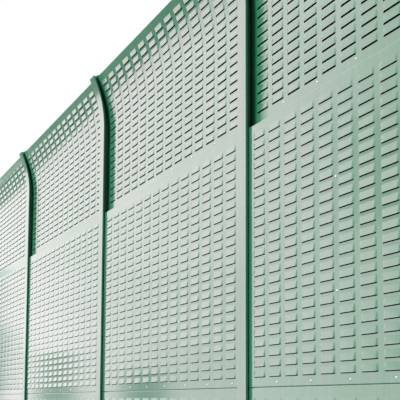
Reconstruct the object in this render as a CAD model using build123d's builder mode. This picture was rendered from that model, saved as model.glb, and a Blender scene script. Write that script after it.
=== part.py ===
from build123d import *
from math import atan2, cos, degrees, hypot, radians, sin
import os

# Noise barrier section: four bays of louvred steel panels that stand between H-section posts.
# The posts bend forward at the top, and the upper panels bend with them, a little tighter.
# Millimetres. X runs along the barrier, -Y is the louvred front and +Z is up. The origin is the
# centre of the underside of the middle post's base plate.

os.makedirs("parts", exist_ok=True)

# --- Driving dimensions ---------------------------------------------------------------------

# the row of bays
bay_count = 4
bay_pitch = 2500.0

# base plates
base_width = 260.0
base_thickness = 20.0
anchor_spacing = 180.0
anchor_hole_diameter = 24.0
rib_thickness = 8.0
rib_reach = 70.0
rib_height = 110.0

# posts, rolled H section
post_width = 100.0
post_depth = 100.0
flange_thickness = 8.0
web_thickness = 6.0
root_radius = 8.0
bend_radius = 750.0
bend_angle = 25.0
post_overhang = 16.0

# panels
panel_end_clearance = 12.0
panel_front_clearance = 5.0
panel_thickness = 75.0
plinth_height = 630.0
louvred_height = 1000.0
upper_straight_height = 464.0
upper_bend_lead = 25.0
upper_set_back = 18.0
upper_tip_clearance = 5.0
upper_thickness = 50.0
front_sheet = 1.5
front_return = 20.0
back_sheet = 1.0
air_gap = 12.0

# --- Places worked out from them ------------------------------------------------------------

post_places = [(number - bay_count / 2) * bay_pitch for number in range(bay_count + 1)]
panel_length = bay_pitch - web_thickness - 2 * panel_end_clearance

plinth_bottom = base_thickness
lower_bottom = plinth_bottom + plinth_height
middle_bottom = lower_bottom + louvred_height
upper_bottom = middle_bottom + louvred_height
upper_bend_start = upper_bottom + upper_straight_height
bend_start = upper_bend_start + upper_bend_lead

panel_front = -post_depth / 2 + flange_thickness + panel_front_clearance
panel_back = panel_front + panel_thickness
upper_front = panel_front + upper_set_back
upper_back = upper_front + upper_thickness

# the upper panel's front face is an arc from upper_bend_start to its tip, which comes close to the
# inside of the post's front flange
tip_angle = radians(bend_angle) - post_overhang / bend_radius
tip_radius = bend_radius - post_depth / 2 + flange_thickness + upper_tip_clearance
tip_forward = upper_front + bend_radius - tip_radius * cos(tip_angle)
tip_rise = bend_start - upper_bend_start + tip_radius * sin(tip_angle)
upper_bend_radius = hypot(tip_forward, tip_rise) ** 2 / (2 * tip_forward)
upper_bend_angle = degrees(2 * atan2(tip_forward, tip_rise))


def straight_outline(front, back, bottom, top):
    """Side view of a flat slab, with Y across and Z up."""
    with BuildSketch() as outline:
        with Locations(((front + back) / 2, (bottom + top) / 2)):
            Rectangle(back - front, top - bottom)
    return outline.sketch


def bent_outline(front, back, bottom, end_inset):
    """Side view of a slab in the upper panel: upright to upper_bend_start, then round its bend.

    end_inset is how far its end stops short of the upper panel's end.
    """
    end_angle = upper_bend_angle - degrees(end_inset / upper_bend_radius)
    center = (upper_front - upper_bend_radius, upper_bend_start)
    with BuildSketch() as outline:
        with BuildLine():
            front_bend = CenterArc(center, front - center[0], 0, end_angle)
            back_bend = CenterArc(center, back - center[0], 0, end_angle)
            Line(front_bend @ 1, back_bend @ 1)
            Line(front_bend @ 0, (front, bottom))
            Line(back_bend @ 0, (back, bottom))
            Line((front, bottom), (back, bottom))
        make_face()
    return outline.sketch


# --- Posts and base plates ------------------------------------------------------------------

bend_axis = Axis((0, -bend_radius, bend_start), (1, 0, 0))

for number, post_x in enumerate(post_places, start=1):
    # a rolled H section with its web square to the barrier, bent forward at the top
    with BuildPart() as post:
        with BuildSketch(Plane.XY.offset(bend_start)) as section:
            with Locations((post_x, 0)):
                Rectangle(web_thickness, post_depth)
                with GridLocations(0, post_depth - flange_thickness, 1, 2):
                    Rectangle(post_width, flange_thickness)
            roots = section.vertices().filter_by(
                lambda corner: abs(abs(corner.X - post_x) - web_thickness / 2) < 0.01
            )
            fillet(roots, root_radius)
        extrude(section.sketch, amount=base_thickness - bend_start)
        revolve(axis=bend_axis, revolution_arc=bend_angle)
    post.part.label = f"post_{number}"
    export_step(post.part, f"parts/post_{number}.step")

    # a square plate with four anchor holes, and a rib welded to the foot of each flange
    with BuildPart() as base_plate:
        with BuildSketch(Plane.XY):
            with Locations((post_x, 0)):
                Rectangle(base_width, base_width)
                with GridLocations(anchor_spacing, anchor_spacing, 2, 2):
                    Circle(anchor_hole_diameter / 2, mode=Mode.SUBTRACT)
        extrude(amount=base_thickness)
        with BuildSketch(Plane.YZ.offset(post_x)):
            with BuildLine():
                Polyline(
                    (post_depth / 2, base_thickness),
                    (post_depth / 2 + rib_reach, base_thickness),
                    (post_depth / 2, base_thickness + rib_height),
                    close=True,
                )
            make_face()
            mirror(about=Plane.YZ)
        extrude(amount=rib_thickness / 2, both=True)
    base_plate.part.label = f"base_plate_{number}"
    export_step(base_plate.part, f"parts/base_plate_{number}.step")

# --- Panels ---------------------------------------------------------------------------------

for number, post_x in enumerate(post_places[:-1], start=1):
    panel_start = post_x + web_thickness / 2 + panel_end_clearance

    # the plain closed panel at the foot of the bay
    with BuildPart() as plinth:
        with BuildSketch(Plane.YZ.offset(panel_start)):
            add(straight_outline(panel_front, panel_back, plinth_bottom, lower_bottom))
        extrude(amount=panel_length)
    plinth.part.label = f"bay_{number}_plinth"
    export_step(plinth.part, f"parts/bay_{number}_plinth.step")

    # two flat louvred panels, each a front sheet folded over a back tray
    for level, bottom in (("lower", lower_bottom), ("middle", middle_bottom)):
        top = bottom + louvred_height
        fold_back = panel_front + front_return
        tray_front = panel_front + front_sheet
        tray_bottom = bottom + front_sheet
        tray_top = top - front_sheet

        with BuildPart() as front:
            with BuildSketch(Plane.YZ.offset(panel_start)):
                add(straight_outline(panel_front, fold_back, bottom, top))
                add(
                    straight_outline(tray_front, fold_back, tray_bottom, tray_top),
                    mode=Mode.SUBTRACT,
                )
            extrude(amount=panel_length)
        front.part.label = f"bay_{number}_{level}_front"
        export_step(front.part, f"parts/bay_{number}_{level}_front.step")

        with BuildPart() as tray:
            with BuildSketch(Plane.YZ.offset(panel_start)):
                add(straight_outline(tray_front, panel_back, tray_bottom, tray_top))
            extrude(amount=panel_length)
            with BuildSketch(Plane.YZ.offset(panel_start + back_sheet)):
                add(
                    straight_outline(
                        tray_front,
                        panel_back - back_sheet,
                        tray_bottom + back_sheet,
                        tray_top - back_sheet,
                    )
                )
            extrude(amount=panel_length - 2 * back_sheet, mode=Mode.SUBTRACT)
        tray.part.label = f"bay_{number}_{level}_back"
        export_step(tray.part, f"parts/bay_{number}_{level}_back.step")

    # the upper louvred panel, thinner and set back, bent with the posts
    upper_fold_back = upper_front + front_return
    upper_tray_front = upper_front + front_sheet
    upper_tray_bottom = upper_bottom + front_sheet

    with BuildPart() as upper_sheet:
        with BuildSketch(Plane.YZ.offset(panel_start)):
            add(bent_outline(upper_front, upper_fold_back, upper_bottom, 0))
            add(
                bent_outline(upper_tray_front, upper_fold_back, upper_tray_bottom, front_sheet),
                mode=Mode.SUBTRACT,
            )
        extrude(amount=panel_length)
    upper_sheet.part.label = f"bay_{number}_upper_front"
    export_step(upper_sheet.part, f"parts/bay_{number}_upper_front.step")

    with BuildPart() as upper_tray:
        with BuildSketch(Plane.YZ.offset(panel_start)):
            add(bent_outline(upper_tray_front, upper_back, upper_tray_bottom, front_sheet))
        extrude(amount=panel_length)
        with BuildSketch(Plane.YZ.offset(panel_start + back_sheet)):
            add(
                bent_outline(
                    upper_tray_front,
                    upper_back - back_sheet,
                    upper_tray_bottom + back_sheet,
                    front_sheet + back_sheet,
                )
            )
        extrude(amount=panel_length - 2 * back_sheet, mode=Mode.SUBTRACT)
    upper_tray.part.label = f"bay_{number}_upper_back"
    export_step(upper_tray.part, f"parts/bay_{number}_upper_back.step")

    # mineral wool that fills the three louvred panels behind an air gap
    with BuildPart() as absorber:
        with BuildSketch(Plane.YZ.offset(panel_start + back_sheet)):
            for bottom in (lower_bottom, middle_bottom):
                add(
                    straight_outline(
                        panel_front + air_gap,
                        panel_back - back_sheet,
                        bottom + front_sheet + back_sheet,
                        bottom + louvred_height - front_sheet - back_sheet,
                    )
                )
            add(
                bent_outline(
                    upper_front + air_gap,
                    upper_back - back_sheet,
                    upper_tray_bottom + back_sheet,
                    front_sheet + back_sheet,
                )
            )
        extrude(amount=panel_length - 2 * back_sheet)
    absorber.part.label = f"bay_{number}_absorber"
    export_step(absorber.part, f"parts/bay_{number}_absorber.step")
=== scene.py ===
from collections import namedtuple
from math import atan2, cos, pi, radians, sin, sqrt, tan

import bmesh
import bpy
from mathutils import Matrix, Vector


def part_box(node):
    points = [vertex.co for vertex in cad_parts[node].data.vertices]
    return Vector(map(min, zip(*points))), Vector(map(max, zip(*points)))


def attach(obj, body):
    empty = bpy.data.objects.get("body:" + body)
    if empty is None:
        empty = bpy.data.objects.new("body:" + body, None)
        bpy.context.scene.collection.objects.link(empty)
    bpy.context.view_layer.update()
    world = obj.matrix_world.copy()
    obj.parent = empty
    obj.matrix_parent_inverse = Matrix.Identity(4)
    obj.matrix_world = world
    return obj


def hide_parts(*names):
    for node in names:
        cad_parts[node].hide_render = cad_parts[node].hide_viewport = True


# Noise barrier section: four bays of louvred steel panels between H-section posts whose tops bend
# forward. Metres; X runs along the barrier, -Y is the louvred front, Z is up.
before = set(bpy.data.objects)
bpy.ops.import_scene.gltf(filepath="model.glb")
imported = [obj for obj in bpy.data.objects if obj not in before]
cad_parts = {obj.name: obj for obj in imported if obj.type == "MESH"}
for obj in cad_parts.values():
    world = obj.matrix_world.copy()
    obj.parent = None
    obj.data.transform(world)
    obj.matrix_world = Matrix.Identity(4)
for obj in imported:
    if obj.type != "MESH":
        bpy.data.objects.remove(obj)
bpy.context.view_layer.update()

# --- Camera ---------------------------------------------------------------------------------
# It stands near the right-hand end, close to the front, at eye height, and looks left along the
# barrier and a little up.
camera_place = Vector((7.418, -1.706, 1.594))
camera_turn, camera_tilt, camera_roll = radians(73.17), radians(8.53), radians(0.26)
camera_data = bpy.data.cameras.new("camera")
camera_data.lens = 121.5
camera_data.sensor_width = 36.0
camera_data.clip_end = 200.0
camera = bpy.data.objects.new("camera", camera_data)
camera.matrix_world = (
    Matrix.Translation(camera_place)
    @ Matrix.Rotation(camera_turn, 4, "Z")
    @ Matrix.Rotation(pi / 2 + camera_tilt, 4, "X")
    @ Matrix.Rotation(camera_roll, 4, "Z")
)
bpy.context.scene.collection.objects.link(camera)
bpy.context.scene.camera = camera

# --- Base plates ----------------------------------------------------------------------------
# Square steel plates with ribs, welded to the foot of each post and painted with it. They stand
# in road dirt, so the paint is dusty low down, chipped in specks, and rusty where it has chipped.
bays = sum(name.endswith("_plinth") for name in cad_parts)
post_numbers = range(1, bays + 2)


class Flow:
    """One output of a shader node. Arithmetic on it adds Math nodes."""

    def __init__(self, tree, socket):
        self.tree = tree
        self.socket = socket

    def combine(self, operation, first, second):
        return self.tree.node("Math", {"operation": operation}, {0: first, 1: second})

    def __add__(self, other):
        return self.combine("ADD", self, other)

    def __sub__(self, other):
        return self.combine("SUBTRACT", self, other)

    def __rsub__(self, other):
        return self.combine("SUBTRACT", other, self)

    def __mul__(self, other):
        return self.combine("MULTIPLY", self, other)

    def __mod__(self, other):
        return self.combine("MODULO", self, other)

    def __rmod__(self, other):
        return self.combine("MODULO", other, self)

    def __gt__(self, other):
        return self.combine("GREATER_THAN", self, other)

    def either(self, other):
        """The greater of two values, so 1 where one of two masks is 1."""
        return self.combine("MAXIMUM", self, other)

    __radd__ = __add__
    __rmul__ = __mul__


class Shader:
    """A node tree, filled node by node."""

    def __init__(self, tree):
        self.nodes = tree.nodes
        self.links = tree.links
        self.nodes.clear()

    def node(self, kind, settings=None, inputs=None, output=0):
        """Adds a node, sets its settings, then its inputs, and gives back one of its outputs."""
        made = self.nodes.new("ShaderNode" + kind)
        for name, value in (settings or {}).items():
            if name == "stops":
                ramp = made.color_ramp
                while len(ramp.elements) < len(value):
                    ramp.elements.new(0.5)
                for element, (place, shade) in zip(ramp.elements, value):
                    element.position = place
                    element.color = (shade, shade, shade, 1)
            else:
                setattr(made, name, value)
        for name, value in (inputs or {}).items():
            if isinstance(value, Flow):
                self.links.new(value.socket, made.inputs[name])
            else:
                made.inputs[name].default_value = value
        return Flow(self, made.outputs[output]) if len(made.outputs) else None


class Finish(Shader):
    """A material, with the patterns that its surface is made of."""

    def __init__(self, name):
        self.material = bpy.data.materials.new(name)
        self.material.use_nodes = True
        super().__init__(self.material.node_tree)

    def place(self):
        """Where a point of the surface is, in metres from the frame's origin."""
        return self.node("TexCoord", output="Object")

    def measure(self, place, axis):
        """The X, Y or Z of a place."""
        return self.node("SeparateXYZ", inputs={0: place}, output=axis)

    def stretched(self, place, amounts):
        """A place with each axis multiplied, so that noise is drawn out along the smallest."""
        return self.node("VectorMath", {"operation": "MULTIPLY"}, {0: place, 1: amounts})

    def noise(self, place, scale, detail=3.0, roughness=0.55):
        """Cloudy noise from 0 to 1, with about this many clouds in a metre."""
        inputs = {"Vector": place, "Scale": scale, "Detail": detail, "Roughness": roughness}
        return self.node("TexNoise", inputs=inputs)

    def steps(self, value, *stops):
        """A ramp through its stops, each a value and what it becomes."""
        return self.node("ValToRGB", {"stops": stops}, {"Fac": value})

    def blend(self, share, first, second):
        """Mixes two colours, which are sockets 6 and 7 of the node. Its output 2 is a colour."""
        return self.node("Mix", {"data_type": "RGBA"}, {0: share, 6: first, 7: second}, 2)

    def relief(self, pattern, strength, distance, under=None):
        """Bumps, distance metres high where the pattern is 1, laid over other relief if given."""
        inputs = {"Strength": strength, "Distance": distance, "Height": pattern}
        if under:
            inputs["Normal"] = under
        return self.node("Bump", inputs=inputs)

    def done(self, inputs):
        """Gives the surface its inputs, and hands over the material."""
        surface = self.node("BsdfPrincipled", inputs=inputs)
        self.node("OutputMaterial", inputs={"Surface": surface})
        return self.material


def make_plate_paint():
    finish = Finish("green paint on base plates")
    place = finish.place()
    patches = finish.noise(place, 7.0, 5.0)
    specks = finish.noise(place, 90.0, 4.0, 0.7)
    height = finish.measure(place, "Z")
    soil = finish.steps(height * 5.0 + patches * 0.6 + specks * 0.15, (0.34, 0.75), (0.75, 0.0))
    chips = finish.steps(specks * 0.7 + patches * 0.5, (0.70, 0.0), (0.74, 1.0))
    green = finish.blend(patches, (0.030, 0.115, 0.070, 1), (0.042, 0.150, 0.092, 1))
    rusty = finish.blend(chips, green, (0.13, 0.045, 0.02, 1))
    return finish.done(
        {
            "Base Color": finish.blend(soil, rusty, (0.20, 0.17, 0.13, 1)),
            "Roughness": soil * 0.4 + chips * 0.3 + 0.28,
            "Normal": finish.relief(specks, 0.4, 0.0006),
            "Coat Weight": 0.3,
            "Coat Roughness": 0.2,
        }
    )


def coat(name, paint):
    """Puts a finish on a part of the frame."""
    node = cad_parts[name]
    node.data.materials.clear()
    node.data.materials.append(paint)


plate_paint = make_plate_paint()
for number in post_numbers:
    coat(f"base_plate_{number}", plate_paint)

# --- Posts ----------------------------------------------------------------------------------
# Rolled steel H sections, 100 mm by 100 mm, bent forward at the top and sprayed gloss green.
# Rain has washed pale dust down the flanges, and the paint has the soft ripple of a sprayed coat.


def make_post_paint():
    finish = Finish("green gloss paint on posts")
    place = finish.place()
    patches = finish.noise(place, 2.2, 4.0)
    ripple = finish.noise(place, 160.0, 2.0)
    washes = finish.noise(finish.stretched(place, (45.0, 45.0, 1.1)), 1.0, 4.0)
    dust = finish.steps(washes * 0.6 + patches * 0.4, (0.48, 0.0), (0.72, 1.0))
    green = finish.blend(patches, (0.046, 0.245, 0.130, 1), (0.056, 0.280, 0.148, 1))
    return finish.done(
        {
            "Base Color": finish.blend(dust * 0.16, green, (0.42, 0.46, 0.42, 1)),
            "Roughness": dust * 0.12 + 0.50,
            "Specular IOR Level": 0.0,
            "Normal": finish.relief(ripple, 0.10, 0.0003),
            "Coat Weight": 1.0,
            "Coat IOR": 1.5,
            "Coat Roughness": 0.12,
        }
    )


post_paint = make_post_paint()
for number in post_numbers:
    coat(f"post_{number}", post_paint)

# --- Welds ----------------------------------------------------------------------------------
# Hand-laid fillet welds hold the ribs and the post's flanges to the base plate. They are painted
# over, so they show as rippled beads along the corners.
# half of a rib's thickness, and how far a rib reaches out from the flange
rib_half = 0.004
rib_reach = 0.070
bead_leg = 0.006
bead_step = 0.0015
# length of a ripple along the bead, and the share of the leg by which it swells and shrinks
bead_ripple = 0.0045
bead_swell = 0.10
# steps over which each end tapers off
bead_taper = 3
# points across the bead: direction of each in degrees, from the plate up, and its reach in legs
bead_section = ((0, 1.0), (30, 0.80), (60, 0.80), (90, 1.0))
# how far the bead's root goes into the corner
bead_sink = 0.0005


def shaped(name, points, faces):
    """A new object in the scene, from its points and faces."""
    mesh = bpy.data.meshes.new(name)
    mesh.from_pydata(points, [], faces)
    made = bpy.data.objects.new(name, mesh)
    bpy.context.scene.collection.objects.link(made)
    return made


def bead(points, faces, start, end, outward):
    """A rippled fillet along a line on the plate's top, against a face that looks outward."""
    run = end - start
    steps = round(run.length / bead_step)
    rows = []
    for step in range(steps + 1):
        taper = min(1.0, (step + 1) / bead_taper, (steps + 1 - step) / bead_taper)
        swell = bead_swell * sin(2 * pi * step * bead_step / bead_ripple)
        leg = bead_leg * taper * (1.0 + swell)
        corner = start + run * (step / steps)
        rows.append(len(points))
        for turn, reach in bead_section:
            out = leg * reach * cos(radians(turn))
            lift = leg * reach * sin(radians(turn))
            points.append(corner + outward * out + Vector((0, 0, lift)))
        points.append(corner - outward * bead_sink - Vector((0, 0, bead_sink)))
    around = len(bead_section) + 1
    for before, after in zip(rows, rows[1:]):
        for spot in range(around):
            following = (spot + 1) % around
            faces.append((before + spot, before + following, after + following, after + spot))
    faces.append(tuple(rows[0] + spot for spot in reversed(range(around))))
    faces.append(tuple(rows[-1] + spot for spot in range(around)))


for number in post_numbers:
    post_low, post_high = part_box(f"post_{number}")
    middle_x = (post_low.x + post_high.x) / 2
    # the section is as deep as it is wide
    half = (post_high.x - post_low.x) / 2
    points, faces = [], []
    for away in (-1, 1):
        face_y = away * half
        for side in (-1, 1):
            flange_edge = Vector((middle_x + side * half, face_y, post_low.z))
            rib_face = Vector((middle_x + side * rib_half, face_y, post_low.z))
            rib_end = rib_face + Vector((0, away * rib_reach, 0))
            bead(points, faces, flange_edge, rib_face, Vector((0, away, 0)))
            bead(points, faces, rib_face, rib_end, Vector((side, 0, 0)))
    welds = shaped(f"post_{number}_welds", points, faces)
    shape = bmesh.new()
    shape.from_mesh(welds.data)
    bmesh.ops.recalc_face_normals(shape, faces=shape.faces)
    shape.to_mesh(welds.data)
    shape.free()
    welds.data.shade_smooth()
    welds.data.materials.append(plate_paint)
    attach(welds, "root")

# --- Louvred panels -------------------------------------------------------------------------
# Each bay has two flat panels and, above them, one that is set back and bends with the posts.
# The front of each is one steel sheet: rows of hoods are pressed out of it, each open along its
# lower edge so that sound gets in to the mineral wool, and its edges are folded back.
bay_numbers = range(1, bays + 1)
bay_pitch = (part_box(f"post_{bays + 1}")[0].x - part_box("post_1")[0].x) / bays
# height of an upper panel's upright part, under its bend
upper_straight_height = 0.464

louvre_columns = 14
column_pitch = 0.1658
hood_width = 0.1275
hood_height = 0.0255
hood_rise = 0.0045
# across a hood: distance in from each end, and how much of its full rise it has there
end_steps = ((0.0, 0.0), (0.0025, 0.08), (0.0063, 0.42), (0.0100, 0.82), (0.0145, 1.0))
# down a hood: distance below its top, and how much of its full rise it has there
down_steps = (
    (0.0, 0.0),
    (0.0015, 0.02),
    (0.0035, 0.09),
    (0.0120, 0.42),
    (0.0205, 0.76),
    (0.0238, 0.90),
    (hood_height, 1.00),
)
# radii of a hood's corners, seen from the front
top_corner = 0.007
lip_corner = 0.003
# height of the strip of the sheet's inner face that shows behind each lip
lip_return = 0.009

sheet_thickness = 0.0010
fold_radius = 0.003
fold_depth = 0.020
# the middle of a fold's rounded corner is this far from both of the corner's straight sides
fold_middle = 0.3 * fold_radius

rivet_pitch = 0.332
rivet_count = 7
# distance out from a rivet's middle, and how far its head is proud there
rivet_steps = (
    (0.0009, 0.0012),
    (0.0013, 0.0022),
    (0.0024, 0.0020),
    (0.0036, 0.0013),
    (0.0045, 0.0004),
    (0.0046, -0.0003),
)
# how far the bottom of the dimple in a rivet's head is proud
rivet_dimple = 0.0010
rivet_sides = 14

# A front sheet's pattern: distance from the middle of the bay's left post to its first column of
# louvres, how far its slits are open, the heights of the slits above its lower edge, and its
# rivets, each by its distance from the left post and its height.
Pattern = namedtuple("Pattern", "first_louvre slit_gap slits rivets")


def slit_heights(lowest, pitch, count):
    return [lowest + row * pitch for row in range(count)]


def rivet_row(first, up):
    """A row along the foot of a sheet, which holds it to its tray."""
    return [(first + number * rivet_pitch, up) for number in range(rivet_count)]


# four more rivets hold a flat sheet to the stiffeners inside, between the columns of louvres
stiffener_rivets = [(along, up) for up in (0.30, 0.67) for along in (0.918, 1.582)]
flat_pattern = Pattern(
    first_louvre=0.1083,
    slit_gap=0.0029,
    slits=slit_heights(0.039, 0.0375, 25),
    rivets=rivet_row(0.355, 0.017) + stiffener_rivets,
)
upper_pattern = Pattern(
    first_louvre=0.0985,
    slit_gap=0.0044,
    slits=slit_heights(0.049, 0.03758, 19),
    rivets=rivet_row(0.388, 0.030),
)


def flat_face(low):
    """Front face of a flat panel: a point from its x, height up the sheet and how proud it is."""
    return lambda x, up, proud: (x, low.y - proud, low.z + up)


def bent_face(low, front, radius):
    """The same for an upper panel, whose top is bent forward to this radius."""

    def point(x, up, proud):
        angle = max(up - upper_straight_height, 0.0) / radius
        if angle == 0.0:
            return (x, front - proud, low.z + up)
        reach = radius - proud
        bend_start = low.z + upper_straight_height
        return (x, front - radius + reach * cos(angle), bend_start + reach * sin(angle))

    return point


def smooth(made, crease):
    """Shades an object smooth, but for edges that turn by more than this many degrees."""
    made.data.shade_smooth()
    made.data.set_sharp_from_angle(angle=radians(crease))


def corner_inset(down):
    """How far a hood's ends are drawn in at this distance below its top, by its rounded corners."""
    inset = 0.0
    if down < top_corner:
        inset += top_corner - sqrt(top_corner**2 - (top_corner - down) ** 2)
    if down > hood_height - lip_corner:
        past = down - hood_height + lip_corner
        inset += lip_corner - sqrt(lip_corner**2 - past**2)
    return inset


def lines_across(low, high, first_louvre):
    """The lines that run up a sheet, from left to right.

    Each is its x, the share of a hood's rise that it has, the way in which a hood's rounded corners
    move it (1 is right, -1 left), and whether the strip between it and the next is in a hood.
    """
    bay_middle = (low.x + high.x) / 2
    across = [(low.x, 0.0, 0, False)]
    for column in range(louvre_columns):
        left = bay_middle - bay_pitch / 2 + first_louvre + column * column_pitch
        right = left + hood_width
        across += [(left + inward, rise, 1, True) for inward, rise in end_steps]
        across += [(right - inward, rise, -1, True) for inward, rise in reversed(end_steps)]
        across[-1] = (right, 0.0, -1, False)
    across.append((high.x, 0.0, 0, False))
    return across


def lines_up(length, slit_gap, slits):
    """The lines that run along a sheet, from its lower fold to its upper one.

    Each is its height, how far the face is proud there, the share of a hood's rise that it has, and
    how far it draws in the hood's ends. The second list holds the places of the lips in the first.
    """
    up = [(0.0, -fold_depth, 0.0, 0.0), (0.0, -fold_radius, 0.0, 0.0)]
    up += [(fold_middle, -fold_middle, 0.0, 0.0), (fold_radius, 0.0, 0.0, 0.0)]
    lips = []
    for slit in slits:
        up.append((slit - slit_gap, 0.0, 0.0, corner_inset(hood_height)))
        lips.append(len(up))
        for down, rise in reversed(down_steps):
            up.append((slit + hood_height - down, 0.0, rise, corner_inset(down)))
    up += [(length - fold_radius, 0.0, 0.0, 0.0), (length - fold_middle, -fold_middle, 0.0, 0.0)]
    up += [(length, -fold_radius, 0.0, 0.0), (length, -fold_depth, 0.0, 0.0)]
    return up, lips


def louvred_sheet(name, low, high, length, pattern, point):
    """One folded sheet with a row of hoods above each slit."""
    across = lines_across(low, high, pattern.first_louvre)
    up, lips = lines_up(length, pattern.slit_gap, pattern.slits)
    points = [
        point(x + side * inset, height, base + hood_rise * rise * end_rise)
        for height, base, rise, inset in up
        for x, end_rise, side, _ in across
    ]
    wide = len(across)
    hooded = [column for column in range(wide - 1) if across[column][3]]
    faces = []
    for row in range(len(up) - 1):
        for column in range(wide - 1):
            is_slit = row + 1 in lips and column in hooded
            if not is_slit:
                corner = row * wide + column
                faces.append((corner, corner + 1, corner + 1 + wide, corner + wide))

    # the cut edge of each lip, and a little of the sheet's inner face above it; both take
    # near-black painted shade
    inner_share = 1.0 - lip_return / hood_height
    inner_faces = []
    for row in lips:
        slit, _, _, inset = up[row]
        for x, end_rise, side, _ in across:
            outer = hood_rise * end_rise
            edge = x + side * inset
            points.append(point(edge, slit, outer - sheet_thickness))
            points.append(point(edge, slit + lip_return, outer * inner_share - sheet_thickness))
        under = len(points) - 2 * wide
        for column in hooded:
            lip = row * wide + column
            rim = under + 2 * column
            faces.append((lip, rim, rim + 2, lip + 1))
            faces.append((rim, rim + 1, rim + 3, rim + 2))
            inner_faces += [len(faces) - 2, len(faces) - 1]

    sheet = shaped(name, points, faces)
    for face in inner_faces:
        sheet.data.polygons[face].material_index = 1
    shape = bmesh.new()
    shape.from_mesh(sheet.data)
    loose = [corner for corner in shape.verts if not corner.link_faces]
    bmesh.ops.delete(shape, geom=loose, context="VERTS")
    shape.to_mesh(sheet.data)
    shape.free()
    smooth(sheet, crease=20)
    soften = sheet.modifiers.new("soften", "WEIGHTED_NORMAL")
    soften.keep_sharp = True
    return sheet


def rivet_heads(name, post_middle, places, point):
    """Domed rivet heads, each with the dimple of its snapped-off pin."""
    points, faces = [], []
    for along, up in places:
        middle = post_middle + along
        hub = len(points)
        points.append(point(middle, up, rivet_dimple))
        for out, proud in rivet_steps:
            for side in range(rivet_sides):
                turn = 2 * pi * side / rivet_sides
                points.append(point(middle + out * cos(turn), up + out * sin(turn), proud))
        for side in range(rivet_sides):
            after = (side + 1) % rivet_sides
            faces.append((hub, hub + 1 + side, hub + 1 + after))
            for ring in range(len(rivet_steps) - 1):
                inner = hub + 1 + ring * rivet_sides
                outer = inner + rivet_sides
                faces.append((inner + side, outer + side, outer + after, inner + after))
    heads = shaped(name, points, faces)
    smooth(heads, crease=60)
    return heads


def make_panel_paint():
    finish = Finish("green powder coat on panels")
    place = finish.place()
    patches = finish.noise(place, 1.3, 4.0)
    cloudy = finish.noise(place, 9.0, 3.0)
    washes = finish.noise(finish.stretched(place, (26.0, 26.0, 0.9)), 1.0, 4.0)
    dust = finish.steps(washes * 0.6 + cloudy * 0.4, (0.46, 0.0), (0.70, 1.0))
    green = finish.blend(patches, (0.031, 0.250, 0.120, 1), (0.040, 0.290, 0.142, 1))
    dusty = finish.blend(dust * 0.10, green, (0.50, 0.54, 0.50, 1))

    # painted shade: on the upper panels the colour is made near-black next to each post, where the
    # post's recess is in shade, and a little further on the coat is made thinner
    past_post = (finish.measure(place, "X") + bays * bay_pitch) % bay_pitch + cloudy * 0.03
    on_upper_panels = finish.measure(place, "Z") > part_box("bay_1_upper_front")[0].z
    painted_shade = finish.steps(past_post, (0.0825, 1.0), (0.1175, 0.0)) * on_upper_panels
    thinned_coat = finish.steps(past_post, (0.15, 1.0), (0.2375, 0.0)) * on_upper_panels

    # the fine ripple of the coat, and the slow waves of thin sheet
    ripple = finish.noise(place, 140.0, 2.0)
    waves = finish.noise(finish.stretched(place, (1.0, 1.0, 0.8)), 2.6, 1.0)
    rippled = finish.relief(ripple, 0.08, 0.0003)
    return finish.done(
        {
            # painted shade: the colour goes near-black beside each post on the upper panels
            "Base Color": finish.blend(painted_shade * 0.85, dusty, (0.004, 0.012, 0.008, 1)),
            "Roughness": dust * 0.10 + 0.50,
            "Specular IOR Level": 0.0,
            "Normal": finish.relief(waves, 1.0, 0.0022, rippled),
            "Coat Weight": 1.0 - thinned_coat * 0.75,
            "Coat IOR": 1.5,
            "Coat Roughness": 0.105,
        }
    )


# painted shade: the inner face of each hood, seen through its slit, is coloured near-black for the
# shade in there
def make_slit_shade_paint():
    finish = Finish("painted shade on the inner face of the hoods")
    shade_mottle = finish.noise(finish.place(), 60.0, 4.0)
    black = finish.blend(shade_mottle, (0.004, 0.009, 0.007, 1), (0.009, 0.018, 0.013, 1))
    return finish.done({"Base Color": black, "Roughness": 0.9, "Specular IOR Level": 0.0})


def make_aluminium():
    finish = Finish("bare aluminium of rivets")
    bloom = finish.noise(finish.place(), 400.0, 3.0)
    grey = finish.blend(bloom, (0.80, 0.81, 0.82, 1), (0.93, 0.93, 0.92, 1))
    return finish.done({"Base Color": grey, "Metallic": 1.0, "Roughness": bloom * 0.2 + 0.25})


panel_paint = make_panel_paint()
slit_shade_paint = make_slit_shade_paint()
aluminium = make_aluminium()


def panel_front(bay, level, length, pattern, point):
    """The louvred sheet of one panel, in place of its plain front, and the rivets in it."""
    low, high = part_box(f"bay_{bay}_{level}_front")
    sheet = louvred_sheet(f"bay_{bay}_{level}_louvres", low, high, length, pattern, point)
    sheet.data.materials.append(panel_paint)
    # the second material is near-black painted shade, for the hoods' inner faces and lip edges
    sheet.data.materials.append(slit_shade_paint)
    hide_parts(f"bay_{bay}_{level}_front")
    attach(sheet, "root")
    post_middle = (low.x + high.x) / 2 - bay_pitch / 2
    heads = rivet_heads(f"bay_{bay}_{level}_rivets", post_middle, pattern.rivets, point)
    heads.data.materials.append(aluminium)
    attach(heads, "root")


for bay in bay_numbers:
    for level in ("lower", "middle"):
        low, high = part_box(f"bay_{bay}_{level}_front")
        panel_front(bay, level, high.z - low.z, flat_pattern, flat_face(low))

    # the bend follows from how far the face's top edge comes forward and up; the folded edge behind
    # it is a little higher, by an amount that depends on the bend, so a few rounds settle both
    low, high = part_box(f"bay_{bay}_upper_front")
    front = high.y - fold_depth
    forward = front - low.y
    bend = 0.0
    for _ in range(8):
        rise = high.z - low.z - upper_straight_height - fold_depth * sin(bend)
        bend = 2 * atan2(forward, rise)
    radius = forward / (1 - cos(bend))
    length = upper_straight_height + bend * radius
    panel_front(bay, "upper", length, upper_pattern, bent_face(low, front, radius))

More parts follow.
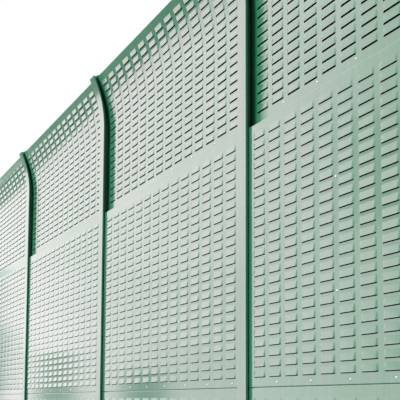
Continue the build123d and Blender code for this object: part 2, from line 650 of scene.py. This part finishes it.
# the trays behind, and the plain panel at the foot
for bay in bay_numbers:
    for level in ("lower", "middle", "upper"):
        coat(f"bay_{bay}_{level}_back", panel_paint)
    coat(f"bay_{bay}_plinth", panel_paint)

# --- Mineral wool ---------------------------------------------------------------------------
# Slabs of mineral wool faced with black fleece fill the panels. They show only as the dark
# behind the slits.


def make_fleece():
    finish = Finish("black fleece")
    fibres = finish.noise(finish.place(), 300.0, 4.0, 0.7)
    return finish.done(
        {
            "Base Color": finish.blend(fibres, (0.003, 0.004, 0.004, 1), (0.008, 0.009, 0.009, 1)),
            "Roughness": 0.95,
            "Specular IOR Level": 0.0,
            "Normal": finish.relief(fibres, 0.6, 0.001),
        }
    )


fleece = make_fleece()
for bay in bay_numbers:
    coat(f"bay_{bay}_absorber", fleece)

# --- Studio ---------------------------------------------------------------------------------
# A plain grey floor, a white surround, and a pale sky of big soft lights on the left and in front,
# with lower things nearer the ground, for the glossy paint to mirror.
floor_reach = 400.0
floor_corners = [(-floor_reach, -floor_reach, 0), (floor_reach, -floor_reach, 0)]
floor_corners += [(floor_reach, floor_reach, 0), (-floor_reach, floor_reach, 0)]
floor = shaped("floor", floor_corners, [(0, 1, 2, 3)])
floor.data.materials.append(
    Finish("floor").done({"Base Color": (0.42, 0.42, 0.41, 1), "Roughness": 0.9})
)

# a low grey screen far off on the left, for the bent tops of the panels to mirror; its bearings
# are in degrees from -X towards -Y
screen_distance = 70.0
screen_height = 8.6
screen_bearings = range(-4, 60, 4)
screen_corners = [
    (-screen_distance * cos(radians(bearing)), -screen_distance * sin(radians(bearing)), z)
    for bearing in screen_bearings
    for z in (0.0, screen_height)
]
screen_faces = [
    (corner, corner + 2, corner + 3, corner + 1)
    for corner in range(0, len(screen_corners) - 2, 2)
]
screen = shaped("screen", screen_corners, screen_faces)
screen.data.materials.append(
    Finish("screen").done({"Base Color": (0.60, 0.64, 0.63, 1), "Roughness": 0.9})
)
screen.visible_camera = False

# the surround is white where it is seen or mirrored, and lights the rest a little less
surround_light = 0.8
world = bpy.data.worlds.new("surround")
world.use_nodes = True
surround = Shader(world.node_tree)
seen = surround.node("LightPath", output="Is Camera Ray")
for ray in ("Is Glossy Ray", "Is Transmission Ray"):
    seen = seen.either(surround.node("LightPath", output=ray))
strength = seen * (1.0 - surround_light) + surround_light
white = surround.node("Background", inputs={"Color": (1, 1, 1, 1), "Strength": strength})
surround.node("OutputWorld", inputs={"Surface": white})
bpy.context.scene.world = world

# the soft lights stand round the fourth post, at about the height of its ledge
sky_centre = Vector((2.5, 0.0, 2.6))
sky_distance = 60.0


def soft_light(name, bearing, elevation, width, height, tint, radiance):
    """A rectangle that lights evenly. bearing is from -X towards -Y; all angles in degrees."""
    lamp = bpy.data.lights.new(name, "AREA")
    lamp.shape = "RECTANGLE"
    lamp.size = 2 * sky_distance * tan(radians(width / 2))
    lamp.size_y = 2 * sky_distance * tan(radians(height / 2))
    lamp.energy = radiance * pi * lamp.size * lamp.size_y
    lamp.color = tint
    turn, lift = radians(bearing), radians(elevation)
    outward = Vector((-cos(turn) * cos(lift), -sin(turn) * cos(lift), sin(lift)))
    facing = (-outward).to_track_quat("-Z", "Y").to_matrix().to_4x4()
    light = bpy.data.objects.new(name, lamp)
    light.matrix_world = Matrix.Translation(sky_centre + sky_distance * outward) @ facing
    light.visible_camera = False
    bpy.context.scene.collection.objects.link(light)


# a row of soft boxes on the left: first and last bearing, lowest and highest elevation, radiance
soft_box_tint = (1.0, 0.68, 0.81)
soft_boxes = (
    (4.0, 12.0, 5.0, 45.0, 0.92),
    (12.0, 23.2, 5.0, 45.0, 0.92),
    (23.2, 50.0, 5.0, 7.4, 0.92),
    (23.2, 50.0, 12.5, 45.0, 0.92),
    (12.0, 23.2, 5.0, 20.0, 0.48),
    (23.2, 50.0, 5.0, 20.0, 0.42),
    (17.0, 23.2, 7.5, 18.0, 0.26),
)
for number, (start, end, lowest, highest, radiance) in enumerate(soft_boxes, start=1):
    bearing, elevation = (start + end) / 2, (lowest + highest) / 2
    width, height = end - start, highest - lowest
    soft_light(
        f"soft_box_{number}", bearing, elevation, width, height, soft_box_tint, radiance
    )

# and a row of low glowing boards, nearer, for the lower half of the panels: the ends, bottom and
# top of each, and its radiance
board_glow = (1.0, 0.84, 0.91, 1)
low_boards = (
    ((-11.60, -1.22), (-9.87, -1.43), 1.2, 3.32, 2.15),
    ((-9.87, -1.43), (-8.51, -1.65), 2.2, 3.25, 2.15),
    ((-8.51, -1.65), (-7.22, -1.92), 1.2, 3.12, 2.05),
    ((-7.22, -1.92), (-6.32, -2.16), 1.95, 3.00, 1.95),
    ((-6.32, -2.16), (-5.13, -2.58), 1.2, 2.95, 1.95),
    ((-5.13, -2.58), (-4.11, -3.04), 1.2, 2.90, 2.35),
    ((-4.11, -3.04), (-2.60, -3.90), 1.2, 2.85, 2.45),
    ((-2.60, -3.90), (-0.70, -5.18), 1.9, 2.85, 1.95),
)
for number, (start, end, bottom, top, radiance) in enumerate(low_boards, start=1):
    corners = [(*start, bottom), (*end, bottom), (*end, top), (*start, top)]
    board = shaped(f"low_board_{number}", corners, [(0, 1, 2, 3)])
    glow = Finish(board.name).done(
        {
            "Base Color": (0, 0, 0, 1),
            "Specular IOR Level": 0.0,
            "Emission Color": board_glow,
            "Emission Strength": radiance,
        }
    )
    board.data.materials.append(glow)
    board.visible_camera = False

# the sky further round, and in front
soft_light("sky_middle", 62.5, 15.0, 25.0, 26.0, (1.0, 0.84, 0.94), 1.7)
soft_light("sky_front", 90.0, 35.0, 55.0, 50.0, (1.0, 0.86, 1.0), 1.0)

bpy.context.scene.view_settings.view_transform = "Standard"
